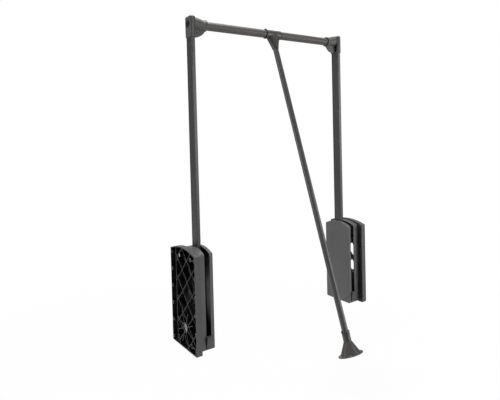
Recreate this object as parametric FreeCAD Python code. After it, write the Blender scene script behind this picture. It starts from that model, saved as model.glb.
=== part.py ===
import FreeCAD, Part
import math
import os

# Pull down closet rod: two spring housings screwed to the side walls of a wardrobe, an arm rising
# from each, a telescopic rail between the arms, and a pull rod hanging from a sleeve on the rail.
# Millimetres. +X runs along the rail, -Y is the user's side, +Z is up.
# Everything is drawn with x = 0 at the left wall, y = 0 at the back edge and z = 0 at the foot of
# the mounting frames. At the end it is moved so that the origin is the middle of the left
# frame's wall screws. A housing is drawn at the left wall, and on_side() mirrors it for the right.

# Driving dimensions: the whole product.
width = 616.0  # clear width between the two walls, rail closed
rail_height = 840.0  # axis of the rail above the foot of the frames
play = 0.3  # gap between pieces that only stand side by side
hole_play = 0.1  # radial gap of a hole round a fixed pin
screw_play = 0.2  # radial gap of a screw's clearance hole
running_gap = 0.05  # radial gap of the turning and sliding fits

# Mounting frame.
frame_depth = 138.0
frame_thickness = 15.5
frame_side_height = 251.0  # height of the frame's front and back edges
frame_foot_radius = 4.0
arch_rise = 12.0  # height of the arched top above those edges
frame_wall = 2.2
strip_depth = 29.0  # closed strip along the frame's back edge
rib_thickness = 1.3
rib_setback = 1.2  # ribs stay this far below the edge that meets the wall
lattice_step_y = 26.6
lattice_step_z = 27.8
lattice_y = -64.5  # one crossing of the lattice
lattice_z = {"left": 149.0, "right": 165.0}  # height of that crossing
lattice_pivot_gap = 20.0  # the lattice keeps this radius round the pivot free for the spokes
spoke_count = 8
spoke_reach = 44.0

# Wall screw bosses in the strips along the frame's back and front edges.
wall_boss_radius = 4.5
wall_hole_radius = 2.2
wall_core_radius = 1.5
wall_core_depth = 9.0
wall_boss_back_y = -6.35
wall_boss_front_y = -134.35
wall_boss_first_z = 11.0
wall_boss_step = 46.0
wall_boss_count = 6

# Housing: a body shell on the frame and a cover on the room side.
body_back = -21.0
body_front = -122.5
body_foot = 2.0
body_side_height = 249.0
body_inner_x = 15.5
housing_thickness = 61.0
shell_wall = 2.5
web_wall = 2.0
foot_web_top = 92.0  # the body is open to the lattice between its two webs
top_web_foot = 187.0
seam_x = 44.0  # joint between the body shell and the cover
seam_gap = 0.2
foot_corner_radius = 4.5
top_corner_radius = 3.3
cover_edge_radius = 3.0
finger_mark_radius = 6.0
finger_mark_depth = 0.8
finger_mark_y = -82.5
finger_mark_z = 67.0

# Arm and the slot that it swings through.
arm_x = 44.0  # middle of the arm, from the wall
arm_y = -66.5
arm_thickness = 10.0
arm_depth = 30.0
arm_wall = 1.5
arm_corner = 1.2
slot_x = 43.0  # middle of the slot, which leaves more room on the wall side of the arm
slot_width = 14.4
slot_foot = 37.8
slot_back = -48.0  # back end of the slot in the arched top
rest_foot = 210.0  # foot of the rib that carries the rest pad

# Pivot.
pivot_y = -73.5
pivot_z = 55.0
axle_radius = 5.0
axle_head_radius = 10.5
axle_head_thickness = 2.6
axle_head_x = 3.2
pivot_boss_radius = 12.6
axle_boss_radius = 11.0
axle_boss_reach = 10.0  # the axle bosses end this far from the arm's middle
bush_radius = 7.5
bush_flange_radius = 10.0
hub_radius = 15.0
hub_shoulder = 97.0  # where the arm's tube starts
hub_tongue_length = 34.0

# Case screws pass from the frame through the body into the cover, clear of the arm's sweep.
screw_back_y = -33.5
screw_front_y = -108.5
screw_foot_z = 18.0
case_screw_places = [
    (screw_back_y, screw_foot_z),
    (screw_back_y, 124.0),
    (screw_back_y, 226.0),
    (screw_front_y, screw_foot_z),
]
frame_screw_place = (-110.5, 239.0)  # short screw at the front of the arch
case_screw_radius = 2.0
case_post_radius = 4.5
case_head_radius = 4.0
case_head_depth = 2.6
case_head_x = 3.0
case_screw_end = 57.0
frame_screw_end = 31.0
frame_post_end = 33.0

# Spring from the hub's pin up to the anchor pin.
spring_pin_y = -69.5
spring_pin_z = 85.0
spring_anchor_y = -50.0
spring_anchor_z = 239.0
spring_x = 27.5
spring_coil_radius = 7.2
spring_wire_radius = 1.7
spring_pitch = 4.6
spring_pin_radius = 3.0
spring_pin_head = 4.5
anchor_boss_radius = 6.0

# Rail, core tube and tee.
rail_radius = 11.5
rail_wall = 1.45
rail_end_x = 53.0
plug_length = 22.0
core_wall = 1.5
core_half_length = 170.0
core_radius = rail_radius - rail_wall - running_gap
tee_x = 312.0  # middle of the tee, from the left wall
tee_length = 52.0
tee_radius = 12.8
tee_bush_length = 60.0
socket_reach = 45.0  # lower rim of the rod socket, from the rail's axis
socket_radius = 9.6
socket_pin_radius = 1.6
socket_pin_reach = 40.0

# Pull rod and its bell foot.
rod_radius = 8.0
rod_wall = 1.2
rod_tilt = 18.9  # degrees forward of vertical
rod_start = 15.0
foot_start = 831.0  # upper rim of the bell foot, from the rail's axis
foot_collar_length = 25.0
foot_collar_radius = 10.0
foot_neck_radius = 9.6
foot_flare_length = 29.5
foot_flare_x = 28.5  # half widths of the flare's oval base, along and across the rail
foot_flare_y = 23.0
foot_flange_thickness = 2.6
foot_flange_x = 35.0
foot_flange_y = 26.0
foot_screw_drop = 7.0
foot_screw_radius = 2.0

# Corner connector between arm and rail.
connector_outer_x = 36.4
connector_inner_x = 51.4
connector_depth = 33.0
connector_foot = 806.0
connector_top = 861.0
connector_rim_x = 88.5
connector_rim_radius = 15.0
arm_end = connector_top - 6.0
rivet_radius = 2.4
rivet_heights = (hub_shoulder + 10, hub_shoulder + 25)
corner_screw_radius = 3.0
corner_screw_head = 7.4
corner_recess_radius = 10.4
corner_recess_depth = 1.6

X_AXIS = FreeCAD.Vector(1, 0, 0)
Y_AXIS = FreeCAD.Vector(0, 1, 0)
Z_AXIS = FreeCAD.Vector(0, 0, 1)
ORIGIN = FreeCAD.Vector(0, 0, 0)


def point(x, y, z):
    return FreeCAD.Vector(x, y, z)


def block(x_from, x_to, y_from, y_to, z_from, z_to):
    size_x = x_to - x_from
    size_y = y_to - y_from
    size_z = z_to - z_from
    return Part.makeBox(size_x, size_y, size_z, point(x_from, y_from, z_from))


def pin_along_x(radius, x_from, x_to, y, z):
    return Part.makeCylinder(radius, x_to - x_from, point(x_from, y, z), X_AXIS)


def pin_along_y(radius, y_from, y_to, x, z):
    return Part.makeCylinder(radius, y_to - y_from, point(x, y_from, z), Y_AXIS)


def tube_along_x(outer, inner, x_from, x_to, y, z):
    bore = pin_along_x(inner, x_from - 1, x_to + 1, y, z)
    return pin_along_x(outer, x_from, x_to, y, z).cut(bore)


def joined(shapes):
    return shapes[0].multiFuse(shapes[1:]).removeSplitter()


def cut_all(shape, tools):
    return shape.cut(Part.makeCompound(tools))


def edges_where(shape, test):
    return [edge for edge in shape.Edges if test(edge)]


def runs_along(edge, axis):
    if edge.Curve.TypeId != "Part::GeomLine":
        return False
    start = edge.Vertexes[0].Point
    end = edge.Vertexes[-1].Point
    return (end - start).cross(axis).Length < 1e-6


def rounded_block(solid, axis, radius):
    return solid.makeFillet(radius, edges_where(solid, lambda edge: runs_along(edge, axis)))


# The side profile shared by frame, body and cover: straight sides and foot under an arched top.
def arched_slab(x_from, x_to, back, front, foot, side_height, inset):
    back = back - inset
    front = front + inset
    foot = foot + inset
    side_height = side_height - inset
    middle = (back + front) / 2
    back_foot = point(x_from, back, foot)
    front_foot = point(x_from, front, foot)
    front_top = point(x_from, front, side_height)
    back_top = point(x_from, back, side_height)
    crown = point(x_from, middle, side_height + arch_rise)
    edges = [
        Part.makeLine(back_foot, front_foot),
        Part.makeLine(front_foot, front_top),
        Part.Arc(front_top, crown, back_top).toShape(),
        Part.makeLine(back_top, back_foot),
    ]
    profile = Part.Face(Part.Wire(edges))
    return profile.extrude(point(x_to - x_from, 0, 0))


def frame_slab(x_from, x_to, inset):
    return arched_slab(x_from, x_to, 0.0, -frame_depth, 0.0, frame_side_height, inset)


# The housing's slab has round foot corners, and tighter ones where the arch meets the sides.
def body_slab(x_from, x_to, inset):
    slab = arched_slab(x_from, x_to, body_back, body_front, body_foot, body_side_height, inset)
    half_height = body_side_height / 2
    foot_edges = edges_where(
        slab, lambda edge: runs_along(edge, X_AXIS) and edge.BoundBox.ZMax < half_height
    )
    slab = slab.makeFillet(foot_corner_radius - inset, foot_edges)
    top_edges = edges_where(
        slab, lambda edge: runs_along(edge, X_AXIS) and edge.BoundBox.ZMin > half_height
    )
    return slab.makeFillet(max(top_corner_radius - inset, 0.5), top_edges)


def case_places():
    return case_screw_places + [frame_screw_place]


def wall_boss_places():
    places = []
    for y in (wall_boss_back_y, wall_boss_front_y):
        for index in range(wall_boss_count):
            places.append((y, wall_boss_first_z + index * wall_boss_step))
    return places


def diagonal_ribs(crossing_z):
    ribs = []
    slope = lattice_step_z / lattice_step_y
    reach = frame_depth
    near = lattice_y - reach
    far = lattice_y + reach
    rise = slope * reach
    half_cover = rib_thickness / math.cos(math.atan(slope)) / 2
    for direction in (1, -1):
        for step in range(-5, 6):
            middle_z = crossing_z + step * 2 * lattice_step_z
            near_z = middle_z - direction * rise
            far_z = middle_z + direction * rise
            corners = [
                point(rib_setback, near, near_z - half_cover),
                point(rib_setback, far, far_z - half_cover),
                point(rib_setback, far, far_z + half_cover),
                point(rib_setback, near, near_z + half_cover),
            ]
            outline = Part.makePolygon(corners + corners[:1])
            ribs.append(Part.Face(outline).extrude(point(frame_thickness - rib_setback, 0, 0)))
    return ribs


def pivot_spokes():
    spokes = []
    half = rib_thickness / 2
    for index in range(spoke_count):
        spoke = block(rib_setback, frame_thickness, pivot_boss_radius - 1, spoke_reach, -half, half)
        spoke.rotate(ORIGIN, X_AXIS, (index + 0.5) * 360.0 / spoke_count)
        spoke.translate(point(0, pivot_y, pivot_z))
        spokes.append(spoke)
    return spokes


# Bosses of the frame: axle, case screws with their ties to the front edge, anchor, wall screws.
def frame_bosses():
    x_from = rib_setback
    x_to = frame_thickness
    bosses = [pin_along_x(pivot_boss_radius, x_from, x_to, pivot_y, pivot_z)]
    for y, z in case_places() + [(spring_anchor_y, spring_anchor_z)]:
        bosses.append(pin_along_x(case_post_radius + 1, x_from, x_to, y, z))
    for y, z in (case_screw_places[-1], frame_screw_place):
        bosses.append(block(x_from, x_to, -frame_depth, y, z - 1, z + 1))
    for y, z in wall_boss_places():
        bosses.append(pin_along_x(wall_boss_radius, 0.0, x_to, y, z))
    return bosses


# Only the four corner bosses are drilled through; the others keep blind cores.
def frame_holes():
    x_from = -1.0
    x_to = frame_thickness + 1
    head_seat = axle_head_x + axle_head_thickness + 0.4
    holes = [
        pin_along_x(axle_radius + hole_play, x_from, x_to, pivot_y, pivot_z),
        pin_along_x(axle_head_radius + play, x_from, head_seat, pivot_y, pivot_z),
        pin_along_x(spring_pin_radius + hole_play, x_from, x_to, spring_anchor_y, spring_anchor_z),
        pin_along_x(spring_pin_head + play, x_from, 3.7, spring_anchor_y, spring_anchor_z),
    ]
    for y, z in case_places():
        holes.append(pin_along_x(case_screw_radius + screw_play, x_from, x_to, y, z))
        seat = case_head_x + case_head_depth
        holes.append(pin_along_x(case_head_radius + screw_play, x_from, seat, y, z))
    for index, (y, z) in enumerate(wall_boss_places()):
        at_end = index % wall_boss_count in (0, wall_boss_count - 1)
        drill_to = x_to if at_end else wall_core_depth
        radius = wall_hole_radius if at_end else wall_core_radius
        holes.append(pin_along_x(radius, x_from, drill_to, y, z))
    return holes


# Open ribbed tray that is screwed to the wall; its lattice is see-through behind the body.
def mounting_frame(side):
    through = (-1.0, frame_thickness + 1)
    strip_y = -strip_depth
    slab = frame_slab(0.0, frame_thickness, 0.0)
    foot_corners = edges_where(
        slab, lambda edge: runs_along(edge, X_AXIS) and edge.BoundBox.ZMax < 1
    )
    slab = slab.makeFillet(frame_foot_radius, foot_corners)
    pocket = frame_slab(-1.0, frame_thickness - frame_wall, frame_wall)
    window = block(*through, -frame_depth, strip_y, -50, 400)
    window = window.common(body_slab(*through, shell_wall + 0.5))
    tray = slab.cut(pocket).cut(window)

    inside = frame_slab(0.0, frame_thickness, frame_wall / 2)
    field = inside.cut(block(*through, strip_y, 10, -50, 400))
    around_pivot = pin_along_x(lattice_pivot_gap, *through, pivot_y, pivot_z)
    lattice = [rib.common(field).cut(around_pivot) for rib in diagonal_ribs(lattice_z[side])]
    lattice = [rib for rib in lattice if rib.Volume > 1]
    strip_rib = block(
        rib_setback, frame_thickness, strip_y - rib_thickness, strip_y, 1, frame_side_height + 6
    )
    spokes = [spoke.common(field) for spoke in pivot_spokes()]
    bosses = [boss.common(inside) for boss in frame_bosses()]
    return cut_all(joined([tray, strip_rib] + lattice + spokes + bosses), frame_holes())


# The slot runs up the front and back over the arch as far as the upright arm.
def arm_slot():
    x_from = slot_x - slot_width / 2
    x_to = slot_x + slot_width / 2
    foot = body_foot + 8.0
    front_cut = block(x_from, x_to, -frame_depth, body_front + 8, foot, 300)
    top_cut = block(x_from, x_to, -frame_depth, slot_back, body_side_height - 10, 300)
    return front_cut.fuse(top_cut)


def rest_rib(x_from, x_to):
    rib = block(x_from, x_to, slot_back, slot_back + 3, rest_foot, 300)
    return rib.common(body_slab(x_from, x_to, shell_wall / 2))


# Short rib that ties a screw post to its shell: down to the foot, or else straight back.
def post_gusset(x_from, x_to, y, z):
    if z < 2 * screw_foot_z:
        return block(x_from, x_to, y - 1, y + 1, body_foot, z)
    return block(x_from, x_to, y, body_back, z - 1, z + 1)


# Shell of the housing on the wall side, with webs that carry the axle and the spring anchor.
def body_shell():
    x_from = body_inner_x
    x_to = seam_x
    web_to = x_from + web_wall
    axle_boss_to = arm_x - axle_boss_reach
    solid = body_slab(x_from, x_to, 0.0)
    ring = solid.cut(body_slab(x_from - 1, x_to + 1, shell_wall))
    inside = body_slab(x_from, x_to, shell_wall / 2)
    foot_web = inside.common(block(x_from, web_to, -200, 0, 0, foot_web_top))
    top_web = inside.common(block(x_from, web_to, -200, 0, top_web_foot, 300))
    slot_side = slot_x - slot_width / 2
    parts = [ring, foot_web, top_web, rest_rib(slot_side + play, x_to)]
    parts.append(pin_along_x(axle_boss_radius, x_from, axle_boss_to, pivot_y, pivot_z))
    for y, z in case_screw_places:
        parts.append(pin_along_x(case_post_radius, x_from, x_to, y, z))
        parts.append(post_gusset(x_from, x_to, y, z))
    y, z = frame_screw_place
    parts.append(pin_along_x(case_post_radius, x_from, frame_post_end, y, z))
    parts.append(
        pin_along_x(anchor_boss_radius, x_from, web_to + 1, spring_anchor_y, spring_anchor_z)
    )
    shell = joined([part.common(solid) for part in parts])
    holes = [arm_slot()]
    holes.append(
        pin_along_x(bush_radius + hole_play, x_from - 1, axle_boss_to + 1, pivot_y, pivot_z)
    )
    for y, z in case_screw_places:
        holes.append(pin_along_x(case_screw_radius + screw_play, x_from - 1, x_to + 1, y, z))
    y, z = frame_screw_place
    holes.append(pin_along_x(case_screw_radius, x_from - 1, frame_screw_end + 1, y, z))
    holes.append(
        pin_along_x(spring_pin_radius, x_from - 1, web_to + 2, spring_anchor_y, spring_anchor_z)
    )
    return cut_all(shell, holes)


# Cover on the room side: wall, closed face with rounded edges, and blind posts for the screws.
def cover_shell():
    x_from = seam_x + seam_gap
    x_to = housing_thickness
    face_x = x_to - shell_wall
    axle_boss_from = arm_x + axle_boss_reach
    solid = body_slab(x_from, x_to, 0.0)
    rim = edges_where(solid, lambda edge: edge.BoundBox.XMin > x_to - 1e-3)
    solid = solid.makeFillet(cover_edge_radius, rim)
    shell = solid.cut(body_slab(x_from - 1, face_x, shell_wall))
    parts = [shell, rest_rib(x_from, face_x + 1)]
    parts.append(pin_along_x(axle_boss_radius, axle_boss_from, face_x + 1, pivot_y, pivot_z))
    for y, z in case_screw_places:
        parts.append(pin_along_x(case_post_radius, x_from, face_x + 1, y, z))
        parts.append(post_gusset(x_from, face_x + 1, y, z))
    cover = joined([part.common(solid) for part in parts])
    holes = [arm_slot()]
    holes.append(
        pin_along_x(bush_radius + hole_play, axle_boss_from - 1, face_x, pivot_y, pivot_z)
    )
    for y, z in case_screw_places:
        holes.append(pin_along_x(case_screw_radius, x_from - 1, face_x, y, z))
    # Shallow round finger mark in the cover's face.
    holes.append(
        pin_along_x(
            finger_mark_radius, x_to - finger_mark_depth, x_to + 1, finger_mark_y, finger_mark_z
        )
    )
    return cut_all(cover, holes)


# Wedge in the foot of the slot; the arm comes to rest on its upper ledge when it is pulled down.
def stop_block():
    half = slot_width / 2 - 0.2
    nose_half = half + 0.9
    foot = body_foot + 8.2
    face_y = body_front - 0.1
    back_y = body_front + shell_wall + 0.2
    ledge_y = body_front - 6.6
    nose_x = slot_x - nose_half
    corners = [
        point(nose_x, face_y, foot - 4),
        point(nose_x, body_front - 1.6, foot - 3),
        point(nose_x, ledge_y, slot_foot - 2.5),
        point(nose_x, ledge_y, slot_foot),
        point(nose_x, face_y, slot_foot),
    ]
    outline = Part.makePolygon(corners + corners[:1])
    nose = Part.Face(outline).extrude(point(2 * nose_half, 0, 0))
    neck = block(slot_x - half, slot_x + half, body_front - 0.2, back_y, foot, slot_foot)
    key_half = half + 3
    key = block(slot_x - key_half, slot_x + key_half, back_y, back_y + 3, foot + 2, slot_foot - 1)
    return joined([nose, neck, key])


# Rubber pad behind the upright arm, held on the rib at the back end of the slot.
def rest_pad():
    half = arm_thickness / 2 + 0.8
    arm_back = arm_y + arm_depth / 2
    pad_foot = rest_foot + 4
    pad = block(arm_x - half, arm_x + half, arm_back + play, slot_back, pad_foot, pad_foot + 36)
    return rounded_block(pad, X_AXIS, 1.0)


def pivot_axle():
    end_x = housing_thickness - shell_wall - 0.4
    head_end = axle_head_x + axle_head_thickness
    head = pin_along_x(axle_head_radius, axle_head_x, head_end, pivot_y, pivot_z)
    rim = edges_where(head, lambda edge: edge.BoundBox.XMax < axle_head_x + 1e-3)
    head = head.makeChamfer(0.5, rim)
    shank = pin_along_x(axle_radius, axle_head_x + 1, end_x, pivot_y, pivot_z)
    dimple = pin_along_x(2.5, axle_head_x - 1, axle_head_x + 1.2, pivot_y, pivot_z)
    return head.fuse(shank).cut(dimple).removeSplitter()


# Flanged plastic bushes that line the axle bosses and space the arm hub.
def pivot_bushes():
    bore = axle_radius + 0.02
    hub_side = arm_thickness / 2 + play
    flange_side = axle_boss_reach - hole_play
    bushes = []
    for outward, far_x in ((-1, body_inner_x + 3), (1, housing_thickness - shell_wall - play)):
        near_x = arm_x + outward * hub_side
        flange_x = arm_x + outward * flange_side
        sleeve_ends = sorted((near_x, far_x))
        flange_ends = sorted((near_x, flange_x))
        sleeve = tube_along_x(bush_radius, bore, *sleeve_ends, pivot_y, pivot_z)
        flange = tube_along_x(bush_flange_radius, bore, *flange_ends, pivot_y, pivot_z)
        bushes.append(joined([sleeve, flange]))
    return Part.makeCompound(bushes)


def case_screw(y, z, end_x):
    head_x = case_head_x
    recess = 1.3
    head = pin_along_x(case_head_radius, head_x, head_x + case_head_depth - 0.1, y, z)
    shank = pin_along_x(case_screw_radius - 0.05, head_x + 1, end_x, y, z)
    screw = head.fuse(shank).removeSplitter()
    slot_along_y = block(head_x - 1, head_x + recess, y - 2.6, y + 2.6, z - 0.5, z + 0.5)
    slot_along_z = block(head_x - 1, head_x + recess, y - 0.5, y + 0.5, z - 2.6, z + 2.6)
    return screw.cut(slot_along_y).cut(slot_along_z)


def case_screws():
    return Part.makeCompound([case_screw(y, z, case_screw_end) for y, z in case_screw_places])


def frame_screw():
    y, z = frame_screw_place
    return case_screw(y, z, frame_screw_end)


def spring_anchor_pin():
    y = spring_anchor_y
    z = spring_anchor_z
    collar_x = spring_x + 5.0
    pin = pin_along_x(spring_pin_radius - 0.05, 3.0, collar_x + 1.5, y, z)
    head = pin_along_x(spring_pin_head, 1.6, 3.6, y, z)
    collar = pin_along_x(spring_pin_radius + 1.4, collar_x, collar_x + 1.5, y, z)
    return joined([pin, head, collar])


# The spring pin stands on the hub's wall side, above the pivot.
def spring_pin():
    face = arm_x - arm_thickness / 2
    start = spring_x - 7.0
    pin = pin_along_x(spring_pin_radius - 0.05, start, face + 8, spring_pin_y, spring_pin_z)
    collar = pin_along_x(spring_pin_radius + 1.4, start - 1.5, start + 0.1, spring_pin_y, spring_pin_z)
    return pin.fuse(collar).removeSplitter()


# Tension spring with a round hook at each end, from the anchor pin to the hub's pin. It is
# drawn upright at the origin, then leaned over and moved to the pins.
def tension_spring():
    wire = spring_wire_radius
    hook = spring_pin_radius + 0.5 + wire
    run_y = spring_anchor_y - spring_pin_y
    run_z = spring_anchor_z - spring_pin_z
    run = math.hypot(run_y, run_z)
    neck_length = 9.0
    coil_from = hook + neck_length
    coil_to = run - hook - neck_length
    helix = Part.makeHelix(spring_pitch, coil_to - coil_from, spring_coil_radius)
    section = Part.Wire(Part.makeCircle(wire, point(spring_coil_radius, 0, 0), Y_AXIS))
    coil = Part.Wire(helix.Edges).makePipeShell([section], True, True)
    coil.translate(point(0, 0, coil_from))
    pieces = [coil]
    for hook_z, coil_z, toward in ((0.0, coil_from, 1), (run, coil_to, -1)):
        neck_foot = point(0, 0, hook_z + toward * hook)
        pieces.append(Part.makeTorus(hook, wire, point(0, 0, hook_z), X_AXIS))
        pieces.append(Part.makeCylinder(wire, neck_length + 2.0, neck_foot, Z_AXIS * toward))
        arm_z = coil_z + toward * 1.2
        pieces.append(Part.makeCylinder(wire, spring_coil_radius, point(0, 0, arm_z), X_AXIS))
    spring = joined(pieces)
    spring.rotate(ORIGIN, X_AXIS, -math.degrees(math.atan2(run_y, run_z)))
    spring.translate(point(spring_x, spring_pin_y, spring_pin_z))
    return spring


def arm_section(z_from, z_to, inset):
    solid = block(
        arm_x - arm_thickness / 2 + inset,
        arm_x + arm_thickness / 2 - inset,
        arm_y - arm_depth / 2 + inset,
        arm_y + arm_depth / 2 - inset,
        z_from,
        z_to,
    )
    return rounded_block(solid, Z_AXIS, max(arm_corner - inset, 0.8))


def rivet_holes():
    reach = arm_thickness
    return [pin_along_x(rivet_radius, arm_x - reach, arm_x + reach, arm_y, z) for z in rivet_heights]


# Cast hub at the foot of the arm: an eye on the axle, offset in front of the arm's middle.
def arm_hub():
    half = arm_thickness / 2
    eye = pin_along_x(hub_radius, arm_x - half, arm_x + half, pivot_y, pivot_z)
    shank = arm_section(pivot_z, hub_shoulder, 0.0)
    tongue = arm_section(hub_shoulder - 1, hub_shoulder + hub_tongue_length, arm_wall + 0.1)
    bore_radius = axle_radius + running_gap
    bore = pin_along_x(bore_radius, arm_x - half - 1, arm_x + half + 1, pivot_y, pivot_z)
    pin_seat = pin_along_x(
        spring_pin_radius, arm_x - half - 1, arm_x - half + 9, spring_pin_y, spring_pin_z
    )
    return cut_all(joined([eye, shank, tongue]), [bore, pin_seat] + rivet_holes())


# Flat steel tube of the arm, drilled for the hub's rivets and for the corner's screw.
def arm_tube():
    outside = arm_section(hub_shoulder, arm_end, 0.0)
    tube = outside.cut(arm_section(hub_shoulder - 1, arm_end + 1, arm_wall))
    screw_hole = pin_along_x(
        corner_screw_radius + screw_play, arm_x - arm_thickness, arm_x + arm_thickness, arm_y, rail_height
    )
    return cut_all(tube, rivet_holes() + [screw_hole])


def hub_rivets():
    near = arm_x - arm_thickness / 2
    far = arm_x + arm_thickness / 2
    rivets = []
    for z in rivet_heights:
        shank = pin_along_x(rivet_radius - 0.03, near, far, arm_y, z)
        near_head = pin_along_x(rivet_radius + 1.2, near - 0.5, near, arm_y, z)
        far_head = pin_along_x(rivet_radius + 1.2, far, far + 0.5, arm_y, z)
        rivets.append(joined([shank, near_head, far_head]))
    return Part.makeCompound(rivets)


# Oval ring of points round the given axis, for lofts.
def oval_wire(center, half_a, half_b, along_a, along_b):
    points = []
    count = 24
    for index in range(count):
        angle = 2 * math.pi * index / count
        offset = along_a * (half_a * math.cos(angle)) + along_b * (half_b * math.sin(angle))
        points.append(center + offset)
    curve = Part.BSplineCurve()
    curve.interpolate(points, PeriodicFlag=True)
    return Part.Wire(curve.toShape())


# Oval neck that rises from the rail's socket to the height of the collar.
def connector_neck():
    rings = []
    for x, lift, half_y, half_z in (
        (connector_inner_x - 4.0, 4.0, 13.0, 16.6),
        (connector_inner_x + 7.0, 3.4, 13.2, 16.4),
        (connector_rim_x - 14.0, 0.9, 13.4, 14.6),
        (connector_rim_x - 2.0, 0.0, 14.4, 14.4),
    ):
        center = point(x, arm_y, rail_height + lift)
        rings.append(oval_wire(center, half_y, half_z, Y_AXIS, Z_AXIS))
    return Part.makeLoft(rings, True)


# Web under the neck, bulged between the collar's foot and the socket's rim.
def connector_web():
    web_half = 4.5
    y = arm_y - web_half
    back_x = connector_inner_x - 2
    low = point(back_x, y, connector_foot + 1)
    inner = point(connector_inner_x + 3, y, connector_foot + 1)
    bulge = point(connector_rim_x - 13, y, connector_foot + 8)
    end = point(connector_rim_x - 2.5, y, rail_height - connector_rim_radius + 3)
    back = point(back_x, y, rail_height)
    edges = [
        Part.makeLine(low, inner),
        Part.Arc(inner, bulge, end).toShape(),
        Part.makeLine(end, back),
        Part.makeLine(back, low),
    ]
    return Part.Face(Part.Wire(edges)).extrude(point(0, 2 * web_half, 0))


# Moulded corner: an upright collar over the arm's top, a round socket for the rail and a web.
def corner_connector():
    half_depth = connector_depth / 2
    front_y = arm_y - half_depth
    collar = block(
        connector_outer_x,
        connector_inner_x,
        front_y,
        arm_y + half_depth,
        connector_foot,
        connector_top,
    )
    collar = rounded_block(collar, Z_AXIS, 3.8)
    top_rim = edges_where(collar, lambda edge: edge.BoundBox.ZMin > connector_top - 1e-3)
    collar = collar.makeChamfer(3.6, top_rim)
    foot_rim = edges_where(collar, lambda edge: edge.BoundBox.ZMax < connector_foot + 1e-3)
    collar = collar.makeChamfer(1.6, foot_rim)
    rim_from = connector_rim_x - 3
    rim = pin_along_x(connector_rim_radius, rim_from, connector_rim_x, arm_y, rail_height)
    corner = joined([collar, connector_neck(), connector_web(), rim])
    outer_x = connector_outer_x
    groove_x = connector_inner_x - 5.4
    past_rim = connector_rim_x + 5
    socket = pin_along_x(rail_radius + 0.05, rail_end_x - 0.2, past_rim, arm_y, rail_height)
    mouth = pin_along_x(rail_radius + 0.9, connector_rim_x - 1.5, past_rim, arm_y, rail_height)
    bores = [
        arm_section(connector_foot - 1, arm_end + 0.2, -hole_play),
        socket.fuse(mouth),
        pin_along_x(
            corner_screw_radius + screw_play, outer_x - 1, rail_end_x + 1, arm_y, rail_height
        ),
        pin_along_x(
            corner_recess_radius, outer_x - 1, outer_x + corner_recess_depth, arm_y, rail_height
        ),
        block(
            groove_x,
            groove_x + 1.4,
            front_y - 1,
            front_y + 0.7,
            connector_foot + 4,
            connector_top - 5,
        ),
    ]
    return cut_all(corner, bores)


def corner_screw():
    head_from = connector_outer_x - 0.4
    head_to = connector_outer_x + corner_recess_depth
    head = pin_along_x(corner_screw_head, head_from, head_to, arm_y, rail_height)
    rim = edges_where(head, lambda edge: edge.BoundBox.XMax < head_from + 1e-3)
    head = head.makeChamfer(0.6, rim)
    shank = pin_along_x(corner_screw_radius, head_from + 1, rail_end_x + 18, arm_y, rail_height)
    key_radius = 2.9
    corners = []
    for index in range(7):
        angle = math.radians(60 * index)
        y = arm_y + key_radius * math.cos(angle)
        z = rail_height + key_radius * math.sin(angle)
        corners.append(point(head_from - 1, y, z))
    hexagon = Part.Face(Part.makePolygon(corners)).extrude(point(2.4, 0, 0))
    return head.fuse(shank).removeSplitter().cut(hexagon)


# Plug pressed into the rail's end that takes the corner screw's thread.
def rail_plug():
    start = rail_end_x + 0.2
    outer = rail_radius - rail_wall
    return tube_along_x(outer, corner_screw_radius, start, start + plug_length, arm_y, rail_height)


# Rail tube from the corner to the tee's bush; bush_face is the bush's end nearer this tube.
def rail_tube(bush_face):
    inner = rail_radius - rail_wall
    return tube_along_x(rail_radius, inner, rail_end_x, bush_face - play, arm_y, rail_height)


def on_side(shape, side):
    if side == "left":
        return shape
    return shape.mirror(point(width / 2, 0, 0), X_AXIS)


def core_tube():
    start = tee_x - core_half_length
    end = tee_x + core_half_length
    return tube_along_x(core_radius, core_radius - core_wall, start, end, arm_y, rail_height)


# Bush on the core tube that fills the gap between the rail tubes; the sleeve turns on it.
def tee_bush():
    half = tee_bush_length / 2
    bore = core_radius + 0.02
    return tube_along_x(rail_radius, bore, tee_x - half, tee_x + half, arm_y, rail_height)


# Pieces of the pull rod are drawn hanging straight down from the tee and then tilted forward.
def tilted(shape):
    placed = shape.copy()
    placed.rotate(point(tee_x, arm_y, rail_height), X_AXIS, -rod_tilt)
    return placed


def down_pin(radius, reach_from, reach_to):
    top = point(tee_x, arm_y, rail_height - reach_from)
    return Part.makeCylinder(radius, reach_to - reach_from, top, Z_AXIS * -1)


def down_oval(half_x, half_y, reach):
    return oval_wire(point(tee_x, arm_y, rail_height - reach), half_x, half_y, X_AXIS, Y_AXIS)


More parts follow.
